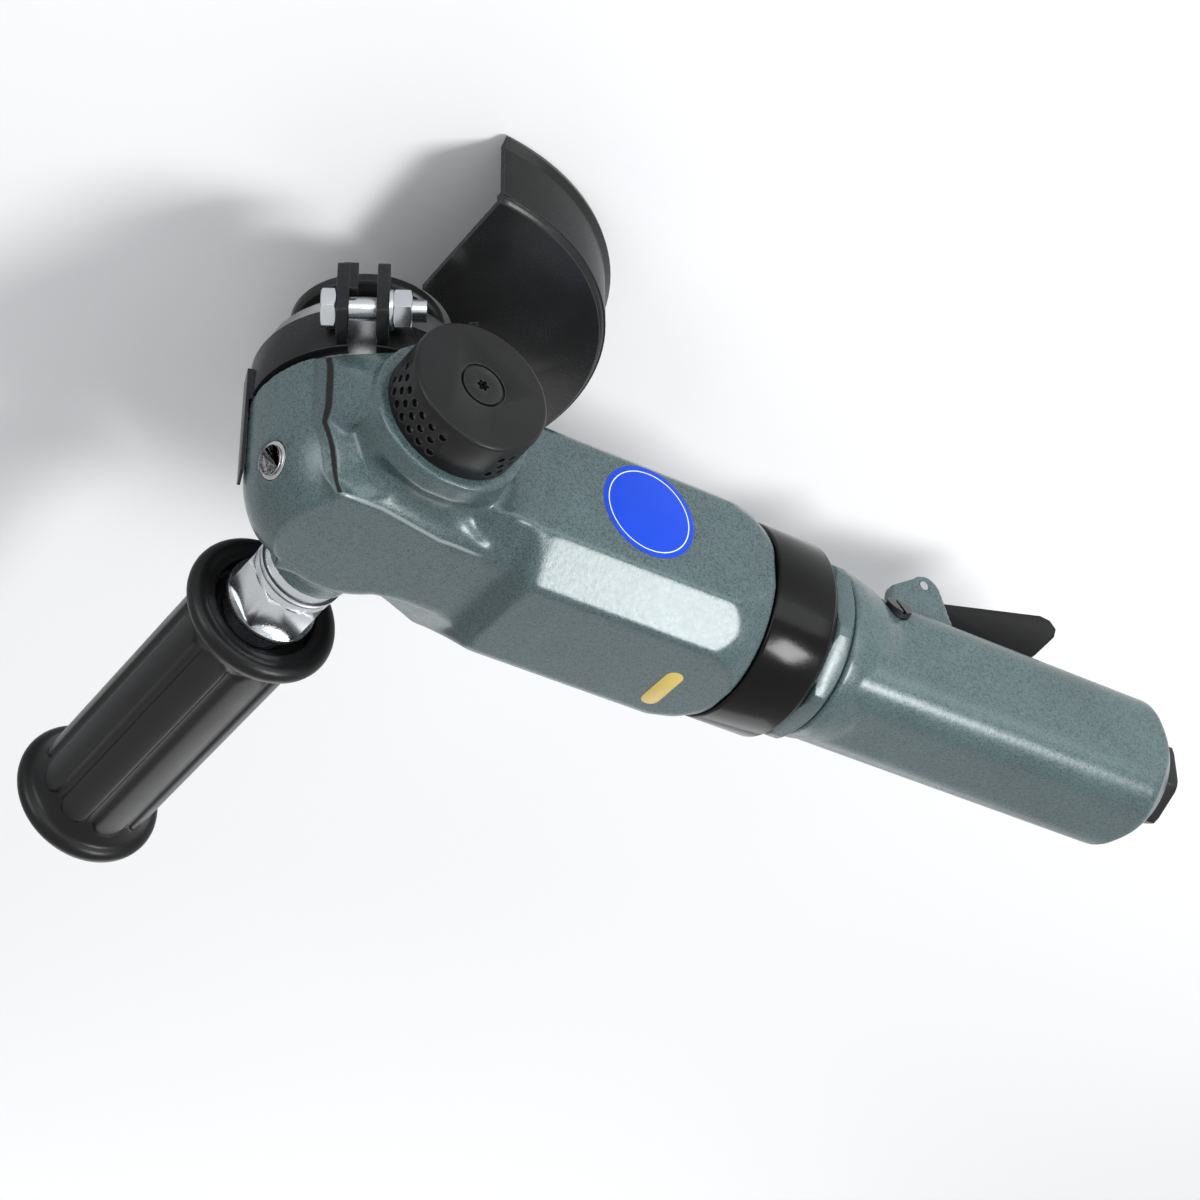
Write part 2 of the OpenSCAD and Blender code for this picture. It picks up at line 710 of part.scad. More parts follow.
module guard() color(black) difference() {
    union() {
        guard_shell();
        guard_tie();
        translate([0, 0, band_low]) cylinder(h = band_h, r = band_r);
        clamp_ears();
        // Stop tongue that rises in front of the head
        rotate([0, 0, tongue_turn]) translate([band_r - 1.4, -tongue_w / 2, band_low + 4])
            difference() {
                cube([2.8, tongue_w, head_low + tongue_up - band_low - 4]);
                translate([-1, -1, head_low - band_low - 5]) cube([2.9, tongue_w + 2, 60]);
                translate([-1, tongue_w - 3, head_low + tongue_up - band_low - 4])
                    rotate([45, 0, 0]) cube([8, 6, 6]);
            }
    }
    translate([0, 0, band_low - 1]) cylinder(h = 40, r = neck_r + 0.06);
    at_ears() translate([bolt_reach, -20, bolt_z]) rotate([-90, 0, 0])
        cylinder(h = 40, r = bolt_d / 2 + 0.1);
    at_ears() translate([10, -ear_gap / 2, band_low - 1]) cube([24, ear_gap, 40]);
    // The band is narrower beside the right ear
    translate([0, 0, band_low - 1]) linear_extrude(height = band_cut + 1)
        polygon(concat([[0, 0]], [for (i = [0:4])
            let(a = cut_from + i * (cut_to - 12 - cut_from) / 4) 40 * [cos(a), sin(a)]]));
}

// The bolt's head is on the ear that is farther from the motor
module at_bolt() {
    at_ears() translate([bolt_reach, 0, bolt_z]) rotate([-90, 0, 0]) children();
}

bolt_face = ear_gap / 2 + band_t + 0.05;

module clamp_bolt() color(zinc) at_bolt() union() {
    translate([0, 0, -bolt_face - 9.8]) cylinder(h = 2 * bolt_face + 9.9, r = bolt_d / 2);
    translate([0, 0, bolt_face]) rotate([0, 0, 30]) hex_prism(bolt_d / 0.6, 4, 0.8);
}

module clamp_nut() color(zinc) at_bolt() difference() {
    union() {
        translate([0, 0, -bolt_face - 1]) cylinder(h = 1, r = bolt_d * 0.92);
        translate([0, 0, -bolt_face - 6]) rotate([0, 0, 30])
            hex_prism(bolt_d / 0.6, 5, 0.8);
    }
    translate([0, 0, -bolt_face - 7]) cylinder(h = 8, r = bolt_d / 2 + 0.02);
}

vent_pitch = 360 * 3.9 / (2 * PI * cap_r);
vent_step = 3.3;
cap_sink_r = 6.7;

// Perforated exhaust cap: groups of staggered holes, with plain wall between them
module silencer_cap() color(black) on_silencer(boss_y + 0.02) difference() {
    rotate_extrude() difference() {
        union() {
            square([cap_r, cap_h - 1.2]);
            square([cap_r - 1.2, cap_h]);
            translate([cap_r - 1.2, cap_h - 1.2]) circle(r = 1.2, $fn = 32);
        }
        translate([-1, -1]) square([cap_r - cap_wall + 1, cap_h - cap_wall + 1]);
        translate([-1, cap_h - 0.8]) square([cap_sink_r + 1, 2]);
    }
    translate([0, 0, cap_h - 5]) cylinder(h = 9, r = 2.6);
    for (g = [0:vent_groups - 1], row = [0:vent_rows - 1], k = [0:6])
        if (row % 2 == 0 || k < 6)
            rotate([0, 0, -30 + g * 360 / vent_groups
                + (k - 3 + (row % 2) / 2) * vent_pitch])
                translate([cap_r - cap_wall - 1, 0, 2.9 + row * vent_step])
                    rotate([0, 90, 0]) cylinder(h = cap_wall + 2, r = vent_d / 2, $fn = 24);
}

module silencer_felt() color([0.55, 0.53, 0.48]) on_silencer(boss_y + 0.4)
    tube(cap_h - cap_wall - 0.8, cap_r - cap_wall - 0.3, 6.4);

module silencer_screw() color(black) on_silencer(boss_y - 10.6) difference() {
    union() {
        cylinder(h = 10.6 + cap_h - 0.9, r = 2.5);
        translate([0, 0, 10.6]) cylinder(h = cap_h - cap_wall - 0.05, r = 6);
        translate([0, 0, 10.6 + cap_h - 0.75]) cylinder(h = 0.8, r = cap_sink_r - 0.9);
    }
    translate([0, 0, 10.6 + cap_h - 2]) linear_extrude(height = 4) union() {
        circle(r = 1.35);
        for (a = [0:60:300]) rotate(a) translate([1.35, 0]) circle(r = 0.5, $fn = 16);
    }
}

// Slotted rotor on its shaft
module rotor() color(steel) difference() {
    union() {
        on_motor(liner_x + 0.15) cylinder(h = cylinder_l - 0.3, r = rotor_r);
        on_motor(plate_front - 9) cylinder(h = rear_plate_end - plate_front + 9.4,
            r = rotor_bore_r - fit);
        on_motor(plate_front + rotor_bearing_w + 0.3)
            cylinder(h = rear_plate_end - plate_front - 2 * rotor_bearing_w - 0.5, r = 6);
        on_motor(13.4) cylinder(h = 25, r = 4);
    }
    on_motor(liner_x) for (i = [0:vanes - 1]) rotate([0, 0, i * 360 / vanes])
        translate([rotor_r - 7.2, -vane_t / 2 - 0.08, -0.1])
            cube([9, vane_t + 0.16, cylinder_l + 0.2]);
}

module rotor_vanes() color([0.35, 0.22, 0.14]) on_motor(liner_x + 0.3)
    for (i = [0:vanes - 1]) rotate([0, 0, i * 360 / vanes])
        translate([rotor_r - 7.1, -vane_t / 2, 0]) cube([7, vane_t, cylinder_l - 0.6]);

module pinion() color(steel) translate([0, 0, axis_h]) rotate([0, -90, 0])
    rotate([0, 0, 180 + 180 / pinion_teeth]) union() {
        bevel_ring(pinion_teeth, pinion_pr, pinion_cone, tooth_module * 1.3);
        bevel_blank(pinion_pr, pinion_cone, 4 + fit, 7.4, -plate_front + 9.6);
    }

module cylinder_liner() color(steel) difference() {
    on_motor(liner_x + 0.05) cylinder(h = cylinder_l - 0.1, r = motor_r - fit);
    translate([0, 0, cylinder_off]) on_motor(liner_x - 1)
        cylinder(h = cylinder_l + 2, r = rotor_r + cylinder_off + 0.12);
    for (dx = [8:9:cylinder_l - 8]) translate([liner_x + dx, 0, axis_h])
        rotate([-90, 0, 0]) cylinder(h = 40, r = 2.4);
}

module end_plate(l, pocket_first) {
    difference() {
        cylinder(h = l, r = motor_r - fit);
        translate([0, 0, -1]) cylinder(h = l + 2, r = 6.3);
        translate([0, 0, pocket_first ? -1 : l - rotor_bearing_w])
            cylinder(h = rotor_bearing_w + 1, r = rotor_bearing_r + fit);
        for (a = [30:60:150]) rotate([0, 0, a]) translate([17.8, 0, -1])
            cylinder(h = l + 2, r = 2);
    }
}

module front_end_plate() color(steel) on_motor(plate_front + 0.05) end_plate(plate_l - 0.1, true);

module rear_end_plate() color(steel) on_motor(liner_end + 0.05) end_plate(rear_plate_l, false);

module front_rotor_bearing() color(steel) on_motor(plate_front + 0.1)
    bearing(rotor_bearing_r, rotor_bore_r, rotor_bearing_w - 0.1);

module rear_rotor_bearing() color(steel) on_motor(rear_plate_end - rotor_bearing_w + 0.1)
    bearing(rotor_bearing_r, rotor_bore_r, rotor_bearing_w - 0.1);

module motor_spacer() color(steel) on_motor(rear_plate_end + 0.1)
    tube(handle_thread_x - rear_plate_end - 1.9, motor_r - 0.3, 17);

module motor_seal() color(rubber) on_motor(handle_thread_x - 1.7)
    tube(1.6, motor_r - 0.3, 15);

// Black ring that screws on the housing and takes the handle's thread
module coupling_collar() color(black) on_motor(collar_x) rotate_extrude($fn = 96)
    polygon([[thread_r + fit, 0], [collar_r - 0.6, 0], [collar_r, 0.6],
        [collar_r, collar_l - 2.6], [collar_r - 2.4, collar_l],
        [spigot_in_r + fit, collar_l], [spigot_in_r + fit, thread_end - collar_x + gap],
        [thread_r + fit, thread_end - collar_x + gap]]);

// Flatted ring with wide bevels that locks the handle's thread
module lock_ring() color(painted) on_motor(ring_x) difference() {
    intersection() {
        rotate([0, 0, 180 / ring_flats])
            cylinder(h = ring_l, r = ring_af / 2 / cos(180 / ring_flats), $fn = ring_flats);
        rotate_extrude() polygon([[0, 0], [ring_af / 2 + 0.6, 0], [ring_af / 2 + 1.6, 1],
            [ring_af / 2 + 1.6, ring_l - 2.2], [ring_af / 2 - 0.8, ring_l], [0, ring_l]]);
    }
    translate([0, 0, -1]) cylinder(h = ring_l + 2, r = spigot_in_r + fit);
}

// Outline of a lever lug, as X and Z
module lug_outline() {
    translate([pin_x + 0.8, pin_z + 2]) circle(r = 5.6);
    polygon([[pin_x - 15, handle_z - handle_half + 4], [pin_x - 12.4, pin_z + 4.4],
        [pin_x - 3.4, pin_z - 1.6], [pin_x + 6.2, pin_z + 0.6],
        [pin_x + 11.4, handle_z - handle_half + 4]]);
}

module at_regulator() {
    translate([reg_x, 0, axis_h]) rotate([-90 - reg_turn, 0, 0]) children();
}

module rear_handle() color(painted) difference() {
    union() {
        along_x(handle_thread_x, neck_x + 1, axis_h, spigot_in_r);
        on_motor(neck_x) rotate_extrude() polygon([[0, 0], [handle_neck_r - 0.8, 0],
            [handle_neck_r, 0.8], [handle_neck_r - 0.4, 5], [handle_neck_r - 2.4, 13],
            [handle_neck_r - 6.2, blend_x - neck_x + 6], [0, blend_x - neck_x + 6]]);
        intersection() {
            translate([neck_x + 4, 0, handle_z]) rotate([0, 90, 0])
                linear_extrude(height = handle_end - neck_x - 4) handle_section();
            translate([neck_x, 0, handle_z]) rotate([0, 90, 0]) rotate_extrude()
                polygon([[0, 4], [handle_neck_r - 2.6, 4], [handle_half + 4, 16],
                    [handle_half + 8, handle_end - neck_x - 14],
                    [handle_half + 2, handle_end - neck_x - 6.5],
                    [handle_half - 3, handle_end - neck_x - 1.4],
                    [handle_half - 5.5, handle_end - neck_x], [0, handle_end - neck_x]]);
        }
        for (s = [-1, 1]) translate([0, s * (lug_in + lug_out) / 2 + (lug_out - lug_in) / 2, 0])
            rotate([90, 0, 0]) linear_extrude(height = lug_out - lug_in) lug_outline();
    }
    // Slot for the lever and its pin
    translate([pin_x - 8, -lug_in, pin_z - 12])
        cube([lever_l + 0.4, 2 * lug_in, slot_top - pin_z + 12]);
    translate([pin_x, -30, pin_z]) rotate([-90, 0, 0]) cylinder(h = 60, r = pin_d / 2);
    // Blind bore of the valve, from the slot up
    translate([stem_x, 0, slot_top - 1]) cylinder(h = bore_top - slot_top + 1, r = chamber_r);
    // Air way: inlet, chamber, motor
    along_x(handle_end - inlet_depth, handle_end + 1, handle_z, 11 + fit);
    along_x(stem_x, handle_end - inlet_depth + 1, seat_z + 5.4, 4);
    along_x(neck_x - 1, stem_x, outlet_z, 3);
    along_x(handle_thread_x - 1, neck_x, axis_h, 13);
    // Regulator's bore and its counterbore
    at_regulator() cylinder(h = 40, r = reg_r + fit);
    at_regulator() translate([0, 0, handle_neck_r - 4.4]) cylinder(h = 20, r = reg_r + 1.2);
}

// Stud, stepped spigot and hexagon of the side handle, in one turned piece
module side_handle_bolt() color(zinc) union() {
    on_side(cavity_r - 1) cylinder(h = grip_near + grip_l - cavity_r - 12, r = 6.9);
    on_side(23.2) cylinder(h = 13.8, r = spigot_r - 0.04);
    on_side(33.6) cylinder(h = 1.2, r = spigot_r + 0.9);
    on_side(36) cylinder(h = 3, r = spigot_r + 0.5);
    on_side(38.4) hex_prism(side_hex, grip_near - 3 - 38.4, 1.5);
    on_side(grip_near - 3.2) cylinder(h = 1.6, r = side_hex / 2 + 1.6);
    on_side(grip_near - 1.8) cylinder(h = 6.8, r = side_hex / 2 - 0.6);
}

module handle_core() color(steel) on_side(grip_near + 5.4) union() {
    difference() {
        cylinder(h = grip_l - 14, r = 10);
        translate([0, 0, -1]) cylinder(h = grip_l, r = 6.9 + fit);
    }
}

// Moulded grip: rolled flanges and long raised panels with round ends
module handle_grip() color(rubber) on_side(grip_near) difference() {
    union() {
        rotate_extrude($fn = 96) union() {
            translate([0, 3.4]) square([grip_r - panel_h, grip_l - 6.8]);
            translate([0, 0.6]) square([grip_flange_r - 2.6, 5.4]);
            translate([0, grip_l - 6]) square([grip_flange_r - 2.6, 5.4]);
            translate([grip_flange_r - 3.2, 3.2]) circle(r = 3.2, $fn = 48);
            translate([grip_flange_r - 3.2, grip_l - 3.2]) circle(r = 3.2, $fn = 48);
            polygon([[0, 5], [grip_r + 2.6, 5], [grip_r + 0.6, 8.6], [grip_r - panel_h, 13],
                [0, 13]]);
            polygon([[0, grip_l - 5], [grip_r + 2.6, grip_l - 5],
                [grip_r + 0.6, grip_l - 8.6], [grip_r - panel_h, grip_l - 13],
                [0, grip_l - 13]]);
        }
        intersection() {
            for (i = [0:grip_panels - 1]) rotate([0, 0, i * 360 / grip_panels])
                translate([grip_r - 4, 0, 0]) rotate([0, 90, 0]) linear_extrude(height = 6)
                    union() {
                        translate([-grip_l + 15, -panel_w / 2]) square([grip_l - 30, panel_w]);
                        translate([-15, 0]) circle(r = panel_w / 2);
                        translate([-grip_l + 15, 0]) circle(r = panel_w / 2);
                    }
            cylinder(h = grip_l, r = grip_r, $fn = 96);
        }
    }
    translate([0, 0, -1]) cylinder(h = 6.4, r = grip_flange_r * 0.67);
    translate([0, 0, 5]) cylinder(h = grip_l - 13.4, r = 10 + fit);
    translate([0, 0, grip_l - 9]) cylinder(h = 4, r = 7.4);
}

// Lever outline in the handle's plane, with its pin at the origin and its back along X
module lever_outline() {
    polygon([[0, -3.6], [4, -2.4], [8, 1.4], [10.5, lever_back],
        [lever_l - 5, lever_back], [lever_l - 1.4, lever_back + 1.3],
        [lever_l, lever_back + 4.4], [lever_l - 2, 9.6], [lever_l - 13, 17],
        [lever_l - 17.4, 18.8], [stem_back - 2, 15.4], [8, 10], [0, 3.6]]);
    circle(r = 3.6);
}

// Pressed channel: two side webs and a back, folded round the lever's edge
module throttle_lever() color(black)
    translate([pin_x, 0, pin_z]) rotate([0, lever_turn, 0])
        difference() {
            translate([0, lever_w / 2, 0]) rotate([90, 0, 0])
                linear_extrude(height = lever_w) lever_outline();
            translate([-8, -lever_w / 2 + lever_t, lever_back + lever_t])
                cube([lever_l + 6 - lever_t, lever_w - 2 * lever_t, 40]);
            translate([0, -20, 0]) rotate([-90, 0, 0]) cylinder(h = 40, r = pin_d / 2 + 0.05);
        }

module lever_pin() color(steel) translate([pin_x, -lug_out + 0.3, pin_z])
    rotate([-90, 0, 0]) cylinder(h = 2 * lug_out - 0.6, r = pin_d / 2 - 0.01);

module valve_stem() color(steel) translate([stem_x, 0, 0]) union() {
    translate([0, 0, stem_low]) sphere(r = stem_r);
    translate([0, 0, stem_low]) cylinder(h = seat_z + 1.3 - stem_low, r = stem_r);
    translate([0, 0, seat_z + gap]) cylinder(h = 2.4, r = chamber_r - 1);
}

// Seat and guide of the valve, with air ports below the seat
module valve_bush() color([0.72, 0.58, 0.30]) translate([stem_x, 0, slot_top])
    difference() {
        cylinder(h = seat_z - slot_top, r = chamber_r);
        translate([0, 0, -1]) cylinder(h = 10, r = stem_r + fit);
        translate([0, 0, 3]) cylinder(h = 20, r = chamber_r - 2.2);
        translate([-10, 0, outlet_z - slot_top]) rotate([0, 90, 0]) cylinder(h = 20, r = 2);
    }

// Point of the spring's helix after i steps
function coil_point(i) = [spring_r * cos(i * 30), spring_r * sin(i * 30),
    spring_wire + i * (spring_z1 - spring_z0 - 2 * spring_wire) / (12 * spring_turns)];

// Corner k of the wire's section there
function wire_point(i, k) = coil_point(i) + spring_wire
    * [cos(i * 30) * cos(k * 60), sin(i * 30) * cos(k * 60), sin(k * 60)];

// Valve spring: one tube along a rising helix
module valve_spring() color(steel) {
    n = 12 * spring_turns;
    points = [for (i = [0:n], k = [0:5]) wire_point(i, k)];
    near = [for (i = [0:n - 1], k = [0:5])
        [i * 6 + k, i * 6 + (k + 1) % 6, i * 6 + 6 + (k + 1) % 6]];
    far = [for (i = [0:n - 1], k = [0:5])
        [i * 6 + k, i * 6 + 6 + (k + 1) % 6, i * 6 + 6 + k]];
    first = [for (k = [1:4]) [0, k + 1, k]];
    last = [for (k = [1:4]) [n * 6, n * 6 + k, n * 6 + k + 1]];
    translate([stem_x, 0, spring_z0])
        polyhedron(points = points, faces = concat(near, far, first, last));
}

module regulator_screw() color(black) at_regulator() difference() {
    union() {
        translate([0, 0, 9]) cylinder(h = handle_neck_r - 12, r = reg_r);
        translate([0, 0, handle_neck_r - 4.3]) cylinder(h = 1.9, r = reg_r + 0.9);
    }
    translate([-0.6, -10, handle_neck_r - 3.4]) cube([1.2, 20, 4]);
}

module inlet_bush() color(black) translate([handle_end, 0, handle_z]) rotate([0, 90, 0])
    difference() {
        union() {
            translate([0, 0, -inlet_depth + 2]) cylinder(h = inlet_depth, r = 11);
            translate([0, 0, 0.1]) hex_prism(inlet_hex, 5.4, 1);
        }
        translate([0, 0, -inlet_depth]) cylinder(h = inlet_depth + 8, r = inlet_r);
        translate([0, 0, -inlet_depth + 1.9]) cylinder(h = 3.1, r = 9);
    }

// Domed strainer behind the inlet bush
module inlet_screen() color(zinc) translate([handle_end - inlet_depth + 2.1, 0, handle_z])
    rotate([0, 90, 0]) difference() {
        cylinder(h = 2.6, r = 8.9);
        translate([0, 0, 0.6]) cylinder(h = 4, r = 6.6);
        for (a = [0:60:300]) rotate([0, 0, a]) translate([4.6, 0, -1])
            cylinder(h = 4, r = 1.4);
        translate([0, 0, -1]) cylinder(h = 4, r = 1.4);
    }

body_casting();
front_insert();
neck_collar();
neck_screws();
neck_seal();
spindle();
lower_spindle_bearing();
upper_spindle_bearing();
bevel_gear();
gear_circlip();
wheel_flange();
guard();
clamp_bolt();
clamp_nut();
silencer_cap();
silencer_felt();
silencer_screw();
rotor();
rotor_vanes();
pinion();
cylinder_liner();
front_end_plate();
rear_end_plate();
front_rotor_bearing();
rear_rotor_bearing();
motor_spacer();
motor_seal();
coupling_collar();
lock_ring();
rear_handle();
side_handle_bolt();
handle_core();
handle_grip();
throttle_lever();
lever_pin();
valve_stem();
valve_bush();
valve_spring();
regulator_screw();
inlet_bush();
inlet_screen();
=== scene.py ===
import json
import math

import bmesh
import bpy
from mathutils import Matrix, Vector


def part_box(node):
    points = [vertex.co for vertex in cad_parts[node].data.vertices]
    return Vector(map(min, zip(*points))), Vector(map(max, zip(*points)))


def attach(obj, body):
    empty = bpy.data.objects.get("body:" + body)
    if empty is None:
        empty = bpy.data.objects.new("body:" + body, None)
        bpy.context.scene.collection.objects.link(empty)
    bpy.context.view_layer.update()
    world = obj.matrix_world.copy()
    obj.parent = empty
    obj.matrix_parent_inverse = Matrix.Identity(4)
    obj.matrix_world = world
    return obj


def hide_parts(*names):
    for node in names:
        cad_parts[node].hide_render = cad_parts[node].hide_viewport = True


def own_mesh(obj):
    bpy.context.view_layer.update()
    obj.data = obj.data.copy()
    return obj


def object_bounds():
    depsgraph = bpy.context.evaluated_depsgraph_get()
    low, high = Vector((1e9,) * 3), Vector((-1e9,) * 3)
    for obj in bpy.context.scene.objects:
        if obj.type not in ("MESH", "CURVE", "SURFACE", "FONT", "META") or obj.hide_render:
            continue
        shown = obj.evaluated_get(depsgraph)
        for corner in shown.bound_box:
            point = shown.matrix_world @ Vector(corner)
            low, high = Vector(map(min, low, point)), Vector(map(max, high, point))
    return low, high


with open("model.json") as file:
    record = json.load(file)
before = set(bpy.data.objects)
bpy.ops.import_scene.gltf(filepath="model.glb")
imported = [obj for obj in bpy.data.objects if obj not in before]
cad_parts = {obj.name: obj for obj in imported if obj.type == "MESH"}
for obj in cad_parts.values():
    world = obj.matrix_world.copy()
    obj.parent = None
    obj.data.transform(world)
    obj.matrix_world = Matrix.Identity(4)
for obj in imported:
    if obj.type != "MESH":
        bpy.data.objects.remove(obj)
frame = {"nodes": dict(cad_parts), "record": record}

cad_low, cad_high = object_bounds()
NODES = frame["nodes"]
RECORD = frame["record"]
MM = 0.001


def joint_of(name):
    return next(j for j in RECORD["behaviour"]["joints"] if j["name"] == name)


def mount_of(name):
    return next(m for m in RECORD["mounts"] if m["name"] == name)


# Places on the castings, in millimetres: motor axis, housing flats, top of the head
AXIS_H = joint_of("rotor_spin")["pos_m"][2] / MM
HALF_FLATS = 28.4
TOP_FACE = AXIS_H + HALF_FLATS
HEAD_TOP = AXIS_H + 22.5

# The head's flat top: half width, where it starts to narrow and by how much, to what,
# and the stretch over which its edge gets a painted highlight
TOP_WIDE, TOP_START, TOP_TAPER, TOP_NARROW = 18.9, -3.0, 0.2, 15.0
TOP_PAINTED_HIGHLIGHT = (-15.0, 28.0)

# The seam round the head leans back above its knee
SEAM_X, SEAM_KNEE, SEAM_SLOPE, SEAM_WIDTH = -22.78, 59.0, -0.35, 1.3

# The valley from the flat top to the silencer's boss at VALLEY_END, above VALLEY_FLOOR;
# it starts and stops over these stretches of x and fades over VALLEY_FADE of height
VALLEY_DEPTH, VALLEY_FLOOR, VALLEY_FADE, VALLEY_END = 3.6, 70.0, 6.0, 31.0
VALLEY_STARTS, VALLEY_STOPS = (-17, -9), (20, 30)

# The housing's root: where its blend starts and stops in x, and away from the motor axis
# sideways and upwards
ROOT_STARTS, ROOT_STOPS = (15, 21), (40, 47)
ROOT_BESIDE, ROOT_ABOVE = (9, 13), (4, 9)
BLEND_PASSES = 40

# Clamp ears: direction from the spindle, gap, thickness, how far a cheek stands proud of
# its ear inside and outside, and its outline as radius and height
EAR_TURN, EAR_GAP, EAR_THICK = 120.0, 7.4, 3.3
EAR_PROUD_IN, EAR_PROUD_OUT = 0.06, 0.04
EAR_OUTLINE = ((31.4, 15.2), (32.8, 13.3), (40.2, 13.3), (41.3, 14.4), (41.3, 30.2),
               (40.3, 31.6), (35.0, 34.1), (31.0, 34.1))

# Labels: the round one on the +Y flat, the small one on the top flat
BLUE_AT, BLUE_R, BLUE_RING = (73.9, 54.0), 14.7, 13.0
YELLOW_AT, YELLOW_HALF, YELLOW_CORNER = (98.9, -3.8), (2.7, 8.4), 2.6

# Label films: levels as a share of the outline and a height over the face
FILM_LEVELS = ((1.0, 0.0), (1.0, 0.07), (0.985, 0.12))

# Mesh clean-up: points welded, slivers dropped, facets merged under this angle;
# shading stays crisp over edges sharper than the last
WELD, SLIVER, FACET_DEG, CRISP_DEG = 0.004, 0.002, 0.5, 42

# Camera, fitted to the photograph: millimetres of lens and sensor, place in metres
LENS, SENSOR = 95.93, 36.0
CAMERA_AT = (-0.31571, 0.59829, 0.58604)
CAMERA_TURN = ((0.84019, -0.31283, -0.44298),
               (0.54222, 0.49867, 0.67626),
               (0.00935, -0.80837, 0.58860))

# Studio, in metres: floor's half width and its gap under the tool, and where lights aim
FLOOR_HALF, FLOOR_GAP = 6.0, 0.0006
STUDIO_MIDDLE = Vector((0.1, 0.0, 0.05))


def photo_camera():
    data = bpy.data.cameras.new("photo_camera")
    data.lens, data.sensor_width = LENS, SENSOR
    data.clip_start, data.clip_end = 0.01, 50
    camera = bpy.data.objects.new("photo_camera", data)
    bpy.context.scene.collection.objects.link(camera)
    camera.matrix_world = Matrix.Translation(CAMERA_AT) @ Matrix(CAMERA_TURN).to_4x4()
    bpy.context.scene.camera = camera


photo_camera()


# Finishes

class Field:
    """A value in a material's node tree; arithmetic on it adds Math nodes."""

    def __init__(self, finish, socket):
        self.finish, self.socket = finish, socket

    def _sum(self, operation, first, second):
        return self.finish.add("ShaderNodeMath", {"operation": operation},
                               {0: first, 1: second})

    def __add__(self, other):
        return self._sum("ADD", self, other)

    def __radd__(self, other):
        return self._sum("ADD", other, self)

    def __sub__(self, other):
        return self._sum("SUBTRACT", self, other)

    def __rsub__(self, other):
        return self._sum("SUBTRACT", other, self)

    def __mul__(self, other):
        return self._sum("MULTIPLY", self, other)

    def __rmul__(self, other):
        return self._sum("MULTIPLY", other, self)

    def __pow__(self, other):
        return self._sum("POWER", self, other)

    def most(self, other):
        return self._sum("MAXIMUM", self, other)

    def above(self, level, soft):
        """0 below level, 1 above it, with a soft edge."""
        return self.finish.add("ShaderNodeMapRange", {"interpolation_type": "SMOOTHSTEP"},
                               {0: self, 1: level - soft, 2: level + soft, 3: 0.0, 4: 1.0})

    def between(self, low, high, soft):
        """1 from low to high, 0 outside."""
        return self.above(low, soft) * (1 - self.above(high, soft))


class Finish:
    """One surface finish: a material with a Principled shader."""

    def __init__(self, name):
        self.material = bpy.data.materials.new(name)
        self.material.use_nodes = True
        self.tree = self.material.node_tree
        self.shader = self.tree.nodes["Principled BSDF"]
        self.point = self.add("ShaderNodeTexCoord", {}, {}, "Object")

    def add(self, kind, settings, inputs, output=0):
        node = self.tree.nodes.new(kind)
        for key, value in settings.items():
            setattr(node, key, value)
        for key, value in inputs.items():
            self.feed(node.inputs[key], value)
        return Field(self, node.outputs[output])

    def feed(self, socket, value):
        if isinstance(value, Field):
            self.tree.links.new(value.socket, socket)
        elif isinstance(value, (tuple, list)) and len(value) == 3 and socket.type == "RGBA":
            socket.default_value = (*value, 1)
        else:
            socket.default_value = value

    def mix(self, mask, first, second):
        """Colour between first and second."""
        return self.add("ShaderNodeMix", {"data_type": "RGBA", "clamp_factor": True},
                        {0: mask, 6: first, 7: second}, 2)

    def noise(self, size_mm, detail=2.0, rough=0.5, point=None):
        return self.add("ShaderNodeTexNoise", {}, {
            "Vector": point or self.point, "Scale": 1 / (size_mm * MM),
            "Detail": detail, "Roughness": rough}, "Fac")

    def pits(self, size_mm):
        return self.add("ShaderNodeTexVoronoi", {"feature": "SMOOTH_F1"}, {
            "Vector": self.point, "Scale": 1 / (size_mm * MM), "Smoothness": 0.6},
            "Distance")

    def stretched(self, x, y, z):
        """Object coordinates scaled apart, for brushing and turning lines."""
        return self.add("ShaderNodeMapping", {}, {"Vector": self.point, "Scale": (x, y, z)},
                        "Vector")

    def axis(self, letter):
        """One object coordinate, in millimetres."""
        return self.add("ShaderNodeSeparateXYZ", {}, {0: self.point}, letter) * (1 / MM)

    def bump(self, height, depth_mm):
        return self.add("ShaderNodeBump", {}, {"Height": height,
                                               "Distance": depth_mm * MM}, "Normal")

    def edge_wear_and_highlight(self, radius_mm=0.5, gain=3.0):
        """1 on convex edges, 0 on flats; used as edge wear and as a painted edge highlight.
        """
        rounded = self.add("ShaderNodeBevel", {"samples": 6}, {"Radius": radius_mm * MM}, 0)
        normal = self.add("ShaderNodeNewGeometry", {}, {}, "Normal")
        dot = self.add("ShaderNodeVectorMath", {"operation": "DOT_PRODUCT"},
                       {0: rounded, 1: normal}, "Value")
        return (1 - dot) * gain

    def surface(self, **sockets):
        for key, value in sockets.items():
            self.feed(self.shader.inputs[key.replace("_", " ")], value)
        return self.material


def shaded(colour, factor):
    return tuple(factor * c for c in colour)


